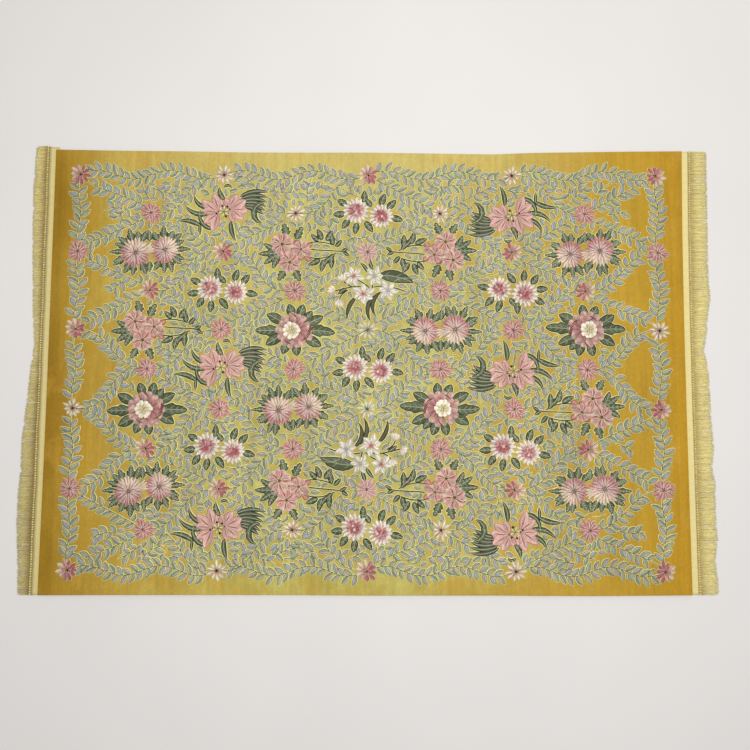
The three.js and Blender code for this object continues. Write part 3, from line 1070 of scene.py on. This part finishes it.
def end_line(end, y, distance):
    """X beside an end, at places in Y, a distance out from the pile."""
    share = (np.asarray(y) - end.edge.front) / (end.edge.back - end.edge.front)
    return table_value(END_EDGES, "across", end.name, share) + end.side * distance


def end_reach(end, extra):
    """Where an end's web or fringe starts and stops in Y. At the left it stands out at the back."""
    return end.edge.front, end.edge.back + (extra if end is LEFT else 0.0)


WEB_CORDS = 9
WEB_STEPS = 150
WEB_COLUMNS = 3 * WEB_CORDS + 1
WEB_UNDER_PILE = 0.012
WEB_SINK = 0.0003
WEB_THICKNESS = 0.0026
CORD_HEIGHT = 0.00035
WEB_LEAST_HEIGHT = 0.0001
# Every third row of the web is a little darker, and its underside is darker as painted shade
THIRD_ROW = 0.97
UNDER_SHADE = 0.8


def make_web(end, material):
    """A flat-woven web: ribbed cords across its width, its outer edge a little lifted."""
    y = np.linspace(*end_reach(end, WEB_STANDS_OUT), WEB_STEPS)[:, None]
    share = np.linspace(0, 1, WEB_COLUMNS)
    wander = 0.0011 * np.sin(y * 41) + 0.0008 * np.sin(y * 97 + 1)
    distance = -WEB_UNDER_PILE + share * (WEB_LENGTH + WEB_UNDER_PILE + wander * share)
    x = end_line(end, y, 0.0) + end.side * distance
    out = np.clip(distance / WEB_LENGTH, 0, 1)
    rise = end.lift * out ** 2 * (1 + 0.35 * np.sin(y * 17) + 0.25 * np.sin(y * 43))
    odd = np.arange(WEB_STEPS)[:, None] % 2
    ribs = CORD_HEIGHT * np.cos(share * WEB_CORDS * 2 * math.pi) * (0.6 + 0.4 * odd)
    height = WEB_TOP - WEB_SINK + ribs + rise
    top = np.stack([x, y + 0 * x, height], axis=-1).reshape(-1, 3)
    below = top - (0, 0, WEB_THICKNESS)
    below[:, 2] = np.maximum(below[:, 2], WEB_LEAST_HEIGHT)
    faces = grid_faces(WEB_COLUMNS, WEB_STEPS)
    border = grid_border(WEB_COLUMNS, WEB_STEPS)
    whole = np.vstack([faces, faces[:, ::-1] + len(top), strip(border + len(top), border)])
    whole = whole[:, ::end.side]
    row_tone = np.where(np.arange(WEB_STEPS) % 3 == 0, THIRD_ROW, 1.0)
    tint = COLOURS["web"] * np.repeat(row_tone, WEB_COLUMNS)[:, None]
    # Painted shadow with some dirt darkens the web towards its lifted outer edge, and the end's tone adds
    # painted shade at the left end
    dark = (np.abs(distance).reshape(-1, 1) / WEB_LENGTH - end.dark_from) / (1 - end.dark_from)
    shade = (tint + (COLOURS["web_edge_shadow_and_dirt"] - tint) * dark.clip(0, 1)) * end.tone
    shade = np.vstack([shade, shade * UNDER_SHADE])
    bag = Bag()
    bag.add(np.vstack([top, below]), whole.ravel(), np.full(len(whole), 4), shade[whole.ravel()])
    return bag.to_object("web_" + end.name, material)


TUBE_LEAST_HEIGHT = 0.0002


@lru_cache(maxsize=None)
def tube_faces(count, sides):
    """The faces of a closed tube: loops and face sizes."""
    rings = np.arange(count * sides).reshape(count, sides)
    walls = np.vstack([strip(b, a) for a, b in zip(rings, rings[1:])])
    return (np.concatenate([walls.ravel(), rings[0], rings[-1][::-1]]),
            np.repeat([4, sides], [len(walls), 2]))


def add_tube(bag, path, radii, shades, sides=3, turn=0.0):
    """A closed thin tube along a path, with a radius and a colour at each point."""
    along = np.gradient(path, axis=0)
    along /= np.linalg.norm(along, axis=1, keepdims=True)
    across = np.cross(along, (0.0, 0.0, 1.0))
    across /= np.linalg.norm(across, axis=1, keepdims=True)
    normal = np.cross(across, along)
    angles = (turn + np.arange(sides) * 2 * math.pi / sides)[None, :, None]
    ring = (np.cos(angles) * across[:, None] + np.sin(angles) * normal[:, None]) * radii[:, None, None]
    points = (path[:, None] + ring).reshape(-1, 3)
    points[:, 2] = np.maximum(points[:, 2], TUBE_LEAST_HEIGHT)
    loops, sizes = tube_faces(len(path), sides)
    bag.add(points, loops, sizes, shades[loops // sides])


KNOT_PITCH = 0.0098
KNOT_LENGTH = 0.0085
KNOT_RADIUS = 0.0047
KNOT_SIDES = 6
# A knot's tone along it: painted shade darkens it at its two necks
KNOT_NECK_SHADE = (1.0, 0.75, 1.0, 1.0, 0.7, 1.0)
STRANDS_A_KNOT = 11
STRAND_RADIUS = 0.00105
STRAND_POINTS = 7
STRAND_SWAY = 0.0022
STRAND_WAVE = 0.0007
STRAND_START = 0.0035
STRAND_SINK = 0.0006
KNOT_SPREAD = 0.0092
TIP_SPREAD = 1.5
TIP_STRAY = 0.0010
TIP_SHORT = 0.0040
# A lock is drawn in towards its middle, and its outer strands, near its sides, are shorter
LOCK_PULL = 0.972
LOCK_SIDE_SHORT = 0.0040
LOCK_SIDE = 1 / 12


def add_strand(bag, rug_end, start, end, height):
    """One silk strand, from its knot down to the floor and out to its tip."""
    share = np.linspace(0, 1, STRAND_POINTS)
    sway = chance.uniform(-STRAND_SWAY, STRAND_SWAY)
    wave = chance.uniform(0, 6.28)
    x = start[0] + (end[0] - start[0]) * share
    y = (start[1] + (end[1] - start[1]) * share ** 0.8 + sway * np.sin(share * math.pi)
         + STRAND_WAVE * np.sin(share * 11 + wave) * share)
    z = (height + (start[2] - height) * np.exp(-share * 7)
         + STRAND_WAVE * np.sin(share * 9 + wave) * share)
    radii = STRAND_RADIUS * np.interp(share, [0, 0.2, 0.85, 1], [1.0, 1.1, 0.95, 0.35])
    tone = chance.uniform(0.84, 1.10) * (rug_end.slope[0] + rug_end.slope[1] * start[1])
    # Painted shade with some dirt: the strand is darkest at its root and fades to its tip colour
    root = np.multiply(COLOURS["fringe_root"], rug_end.root)
    tip = mix("fringe", "fringe_root", rug_end.keep)
    fade = np.clip((share - 0.05) * rug_end.fade, 0, 1)[:, None]
    shades = np.clip((root + (tip - root) * fade) * tone, 0, 1)
    add_tube(bag, np.column_stack([x, y, z]), radii, shades, turn=chance.uniform(0, 2))


def add_knot(bag, side, x, y, z):
    """A small knot where a bundle of warp ends leaves the web."""
    share = np.linspace(0, 1, len(KNOT_NECK_SHADE))
    slant = chance.uniform(0.0005, 0.003)
    path = np.column_stack([x + side * KNOT_LENGTH * share, y + slant * (share - 0.5),
                            z - 0.0008 * share])
    radii = KNOT_RADIUS * np.sin(0.35 + share * 2.3) * chance.uniform(0.88, 1.1)
    shade = np.outer(KNOT_NECK_SHADE, mix("fringe_root", "fringe", 0.6)) * chance.uniform(0.8, 1.1)
    add_tube(bag, path, radii, shade, KNOT_SIDES)


def make_fringe(end, material):
    """The knotted warp ends along one end, gathered into uneven locks."""
    bag = Bag()
    front, back = end_reach(end, FRINGE_STANDS_OUT)
    count = int((back - front) / KNOT_PITCH)
    bounds = [front, *end.partings, back]
    for k in range(count):
        y = front + (k + 0.5) * (back - front) / count
        x = float(end_line(end, y, WEB_LENGTH))
        z = end.knot_height * (1 + 0.2 * math.sin(y * 17))
        add_knot(bag, end.side, x, y, z)
        low, high = next(lock for lock in zip(bounds, bounds[1:]) if y < lock[1])
        middle = (low + high) / 2
        for strand in range(STRANDS_A_KNOT):
            spread = (strand + 0.5) / STRANDS_A_KNOT - 0.5
            end_y = middle + (y + spread * KNOT_PITCH * TIP_SPREAD - middle) * LOCK_PULL
            from_side = min(end_y - low, high - end_y) / (high - low)
            short = LOCK_SIDE_SHORT * max(0.0, 1 - from_side / LOCK_SIDE) + abs(chance.gauss(0, TIP_SHORT))
            start = (x + end.side * STRAND_START, y + spread * KNOT_SPREAD, z - STRAND_SINK)
            tip = (table_value(end.tips, "y", "x", end_y) - end.side * short,
                   end_y + chance.gauss(0, TIP_STRAY))
            add_strand(bag, end, start, tip, chance.uniform(0.0007, 0.0032))
    return bag.to_object("fringe_strands_" + end.name, material)


# Materials

SHEEN_TINT = (1.0, 0.94, 0.78)


class Graph:
    """Short calls for building a node material. Each gives back its node's output."""

    def __init__(self, name):
        self.material = bpy.data.materials.new(name)
        self.material.use_nodes = True
        self.tree = self.material.node_tree
        self.shader = self.tree.nodes["Principled BSDF"]

    def feed(self, node, inputs):
        """Sets a node's inputs to numbers or colours, or links them to other nodes' outputs."""
        for key, value in inputs.items():
            socket = node.inputs[key]
            if isinstance(value, bpy.types.NodeSocket):
                self.tree.links.new(value, socket)
            else:
                socket.default_value = (*value, 1.0) if socket.type == "RGBA" else value

    def node(self, kind, inputs, output=0, **settings):
        made = self.tree.nodes.new(kind)
        for name, value in settings.items():
            setattr(made, name, value)
        self.feed(made, inputs)
        return made.outputs[output]

    def coordinates(self):
        return self.node("ShaderNodeTexCoord", {}, "Object")

    def noise(self, stretch, detail, roughness):
        """Noise that is stretched by a scale in each direction."""
        place = self.node("ShaderNodeMapping", {"Vector": self.coordinates(), "Scale": stretch})
        return self.node("ShaderNodeTexNoise", {"Vector": place, "Scale": 1.0, "Detail": detail,
                                                "Roughness": roughness}, "Fac")

    def spread(self, value, low, high, out_low, out_high):
        return self.node("ShaderNodeMapRange", {"Value": value, "From Min": low, "From Max": high,
                                                "To Min": out_low, "To Max": out_high}, "Result")

    def spread_noise(self, layer):
        return self.spread(self.noise(*layer[:3]), *layer[3:])

    def math(self, operation, a, b):
        return self.node("ShaderNodeMath", {0: a, 1: b}, operation=operation)

    def multiply(self, first, *factors):
        for factor in factors:
            first = self.math("MULTIPLY", first, factor)
        return first

    def mix(self, share, a, b, blend="MIX"):
        return self.node("ShaderNodeMix", {0: share, 6: a, 7: b}, 2, data_type="RGBA", blend_type=blend)

    def yarn(self):
        """The colour that the mesh carries."""
        return self.node("ShaderNodeAttribute", {}, "Color", attribute_name="yarn",
                         attribute_type="GEOMETRY")

    def bump(self, height, strength, distance):
        normal = self.node("ShaderNodeBump", {"Strength": strength, "Distance": distance,
                                              "Height": height}, "Normal")
        self.feed(self.shader, {"Normal": normal})

    def finish(self, shade, tone, roughness, sheen, sheen_roughness, specular):
        """The surface: a colour times a tone that varies over it, and how it shines."""
        base = self.node("ShaderNodeVectorMath", {0: shade, "Scale": tone}, operation="SCALE")
        self.feed(self.shader, {"Base Color": base, "Roughness": roughness, "Sheen Weight": sheen,
                                "Sheen Roughness": sheen_roughness, "Sheen Tint": SHEEN_TINT,
                                "Specular IOR Level": specular})
        return self.material


# A grain of noise, stretched along X, Y and Z
Grain = namedtuple("Grain", "stretch detail roughness")
PILE_ROWS = Grain((480.0, 60.0, 200.0), 2.0, 0.5)
TUFTS = Grain((330.0, 330.0, 330.0), 3.0, 0.6)
THREADS = Grain((900.0, 160.0, 400.0), 2.0, 0.5)
TWIST = Grain((300.0, 900.0, 600.0), 2.0, 0.5)

# A range that a value is mapped to: what is at its low mark or under it, and at its high mark
Span = namedtuple("Span", "low high out_low out_high")
THREAD_TONE = Span(0.3, 0.7, 0.86, 1.1)
TWIST_TONE = Span(0.3, 0.7, 0.86, 1.12)
# Painted shade that darkens the motifs towards the left end, and a little towards the right one
SHADE_TO_LEFT_END = Span(-1.32, -0.85, 0.86, 1.0)
SHADE_TO_RIGHT_END = Span(0.3, 1.1, 1.0, 0.93)
# Painted sheen: where the ground turns paler, in from the left end, out towards the right end, and at the
# back
SHEEN_FROM_LEFT = Span(-1.25, -0.5, 0.0, 1.0)
SHEEN_TO_RIGHT = Span(0.25, 1.0, 1.0, 0.0)
SHEEN_AT_BACK = Span(0.6, 0.9, 0.0, 0.75)

# A layer of noise, stretched along X, Y and Z, and the range that it is mapped to
Layer = namedtuple("Layer", "stretch detail roughness low high out_low out_high")
DYE_BANDS = Layer((34.0, 1.1, 1.0), 5.0, 0.65, 0.3, 0.7, 0.86, 1.10)
# Broad patches of painted sheen, lighter and darker over the pile
SHEEN_TONE_PATCHES = Layer((4.1, 3.3, 1.0), 4.0, 0.6, 0.3, 0.7, 0.92, 1.06)
NAP = Layer((95.0, 40.0, 60.0), 4.0, 0.7, 0.3, 0.7, 0.93, 1.06)
FIBRES = Layer((420.0, 90.0, 200.0), 3.0, 0.6, 0.25, 0.75, 0.84, 1.12)
MOTTLE = Layer((150.0, 130.0, 90.0), 3.0, 0.6, 0.3, 0.7, 0.86, 1.12)
CAST = Layer((85.0, 75.0, 60.0), 3.0, 0.6, 0.35, 0.65, 0.0, 1.0)
GROUND_WANDER = Layer((1.6, 1.2, 1.0), 3.0, 0.6, 0.0, 1.0, -0.22, 0.22)
# Patches of painted sheen that pale the ground in the middle of the rug
SHEEN_PALE_PATCHES = Layer((6.0, 5.0, 1.0), 5.0, 0.65, 0.46, 0.66, 0.0, 0.8)
WARM_PATCHES = Layer((9.0, 7.2, 1.0), 4.0, 0.65, 0.54, 0.70, 0.0, 0.40)
FLOOR_COLOUR = "DEDCDA"
FLOOR_TONE = Layer((1.4, 0.9, 1.0), 3.0, 0.5, 0.3, 0.7, 0.98, 1.02)

# The ground's gold along the rug, from the left end to the right one, with painted shade at both ends and
# painted sheen between them, as its silk catches light
GroundStop = namedtuple("GroundStop", "x shade")
GROUND_STOPS = (
    GroundStop(-1.32, "94700F"), GroundStop(-1.20, "AC8827"), GroundStop(-0.98, "B8993A"),
    GroundStop(-0.45, "B6A54E"), GroundStop(0.15, "B7A550"), GroundStop(0.60, "B99A3B"),
    GroundStop(1.05, "B99328"), GroundStop(1.32, "B58A1A"),
)
FIELD_HALF = 1.35
# How far dyed silk shifts in hue from tuft to tuft
COOL_CAST = (0.91, 1.06, 0.98)
WARM_CAST = (1.12, 0.94, 1.00)


def ground_shade(g, along, across):
    """The ground's colour: the stops along the rug, with painted sheen that makes it paler in its middle
    and at its back.
    """
    place = g.math("ADD", along, g.spread_noise(GROUND_WANDER))
    ramp = g.tree.nodes.new("ShaderNodeValToRGB")
    ramp.color_ramp.interpolation = "EASE"
    while len(ramp.color_ramp.elements) < len(GROUND_STOPS):
        ramp.color_ramp.elements.new(0.5)
    for element, stop in zip(ramp.color_ramp.elements, GROUND_STOPS):
        element.position = (stop.x + FIELD_HALF) / (2 * FIELD_HALF)
        element.color = (*linear(stop.shade), 1.0)
    g.feed(ramp, {"Fac": g.spread(place, -FIELD_HALF, FIELD_HALF, 0.0, 1.0)})
    # Painted sheen in the middle of the rug and at its back
    middle = g.math("MINIMUM", g.spread(along, *SHEEN_FROM_LEFT), g.spread(along, *SHEEN_TO_RIGHT))
    pale = g.multiply(g.spread_noise(SHEEN_PALE_PATCHES), middle)
    back = g.multiply(g.spread(across, *SHEEN_AT_BACK), middle)
    shade = g.mix(pale, ramp.outputs["Color"], COLOURS["sheen_pale_gold"])
    shade = g.mix(back, shade, COLOURS["sheen_back_gold"])
    return g.mix(g.spread_noise(WARM_PATCHES), shade, COLOURS["orange"])


def silk_pile(name, ground):
    """Cut silk pile: woven rows along the ends, bands of dye lot, nap and patches of painted sheen."""
    g = Graph(name)
    split = g.tree.nodes.new("ShaderNodeSeparateXYZ")
    g.feed(split, {0: g.coordinates()})
    along, across = split.outputs[0], split.outputs[1]
    tone = g.multiply(*(g.spread_noise(layer) for layer in (DYE_BANDS, SHEEN_TONE_PATCHES, NAP, FIBRES)))
    if ground:
        shade = ground_shade(g, along, across)
    else:
        # Painted shade on the motifs towards both ends
        tone = g.multiply(tone, g.spread(along, *SHADE_TO_LEFT_END), g.spread(along, *SHADE_TO_RIGHT_END),
                          g.spread_noise(MOTTLE))
        cast = g.mix(g.spread_noise(CAST), COOL_CAST, WARM_CAST)
        shade = g.mix(1.0, g.yarn(), cast, "MULTIPLY")
    g.bump(g.math("ADD", g.noise(*PILE_ROWS), g.noise(*TUFTS)), strength=0.35, distance=0.0009)
    return g.finish(shade, tone, roughness=0.62, sheen=0.14, sheen_roughness=0.35, specular=0.22)


def flat_weave(name):
    """Plain flat-woven silk: fine cross threads."""
    g = Graph(name)
    threads = g.noise(*THREADS)
    g.bump(threads, strength=0.5, distance=0.0008)
    return g.finish(g.yarn(), g.spread(threads, *THREAD_TONE), roughness=0.7, sheen=0.2,
                    sheen_roughness=0.4, specular=0.3)


def silk_strand(name):
    """Loose silk yarn of the fringe."""
    g = Graph(name)
    twist = g.noise(*TWIST)
    g.bump(twist, strength=0.3, distance=0.0004)
    return g.finish(g.yarn(), g.spread(twist, *TWIST_TONE), roughness=0.55, sheen=0.25,
                    sheen_roughness=0.35, specular=0.4)


def plain_floor():
    g = Graph("plain_floor")
    return g.finish(linear(FLOOR_COLOUR), g.spread_noise(FLOOR_TONE), roughness=0.6, sheen=0.0,
                    sheen_roughness=0.5, specular=0.3)


# Camera, floor and light

FLOOR_SIDE = 30.0
WORLD_TINT = (1.0, 0.98, 0.96, 1.0)
WORLD_STRENGTH = 0.57

AreaLight = namedtuple("AreaLight", "name place aim size power tint")
LIGHTS = (
    AreaLight("overhead", (0.35, 0.3, 3.9), (0.15, 0.05, 0), (3.2, 2.4), 98, (1.0, 1.0, 1.0)),
    AreaLight("window", (1.2, 3.4, 2.6), (0.2, 0.2, 0), (3.0, 1.6), 20, (1.0, 0.98, 0.95)),
)


def make_camera():
    data = bpy.data.cameras.new("camera")
    data.sensor_fit = "HORIZONTAL"
    data.sensor_width = SENSOR_MM
    data.lens = FOCAL_PX * SENSOR_MM / IMAGE_SIDE_PX
    camera = bpy.data.objects.new("camera", data)
    camera.location = CAMERA_PLACE
    camera.rotation_euler = [math.radians(a) for a in CAMERA_TURN_DEG]
    bpy.context.scene.collection.objects.link(camera)
    bpy.context.scene.camera = camera


def make_floor():
    bpy.ops.mesh.primitive_plane_add(size=FLOOR_SIDE, location=(0, 0, 0))
    floor = bpy.context.object
    floor.name = "floor"
    floor.data.materials.append(plain_floor())


def add_light(lamp):
    """An area light that faces the place that it is aimed at."""
    data = bpy.data.lights.new(lamp.name, "AREA")
    data.shape = "RECTANGLE"
    data.size, data.size_y = lamp.size
    data.energy = lamp.power
    data.color = lamp.tint
    light = bpy.data.objects.new(lamp.name, data)
    light.location = lamp.place
    x, y, z = np.subtract(lamp.aim, lamp.place)
    light.rotation_euler = (math.atan2(math.hypot(x, y), -z), 0, math.atan2(y, x) - math.pi / 2)
    bpy.context.scene.collection.objects.link(light)


def make_light():
    world = bpy.data.worlds.new("studio")
    bpy.context.scene.world = world
    world.use_nodes = True
    background = world.node_tree.nodes["Background"]
    background.inputs["Color"].default_value = WORLD_TINT
    background.inputs["Strength"].default_value = WORLD_STRENGTH
    for lamp in LIGHTS:
        add_light(lamp)
    bpy.context.scene.view_settings.view_transform = "Standard"


# Put the rug together

make_camera()
make_floor()
make_light()

pile_ground = silk_pile("silk_ground", True)
pile_motif = silk_pile("silk_motif", False)
weave = flat_weave("flat_weave")
strand = silk_strand("silk_strand")

field = make_field(pile_ground)
motif_bags = {SPRAYS[kind].name: bag for kind, bag in make_sprays().items()}
motif_bags["rosettes"] = make_rosettes()
make_vines()
grow_twigs()
fill_with_leaves()
motif_bags.update(vines_left=vines["left"], vines_right=vines["right"])
motifs = [bag.to_object("motif_" + name, pile_motif) for name, bag in motif_bags.items()]
webs = [make_web(end, weave) for end in (LEFT, RIGHT)]
fringe_left = make_fringe(LEFT, strand)
fringe_right = make_fringe(RIGHT, strand)

for piece in [field, *motifs]:
    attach(piece, "root")
for piece in webs:
    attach(piece, "root")
for piece in (fringe_left, fringe_right):
    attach(piece, "root")
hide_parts("rug")
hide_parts("fringe_left")
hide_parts("fringe_right")
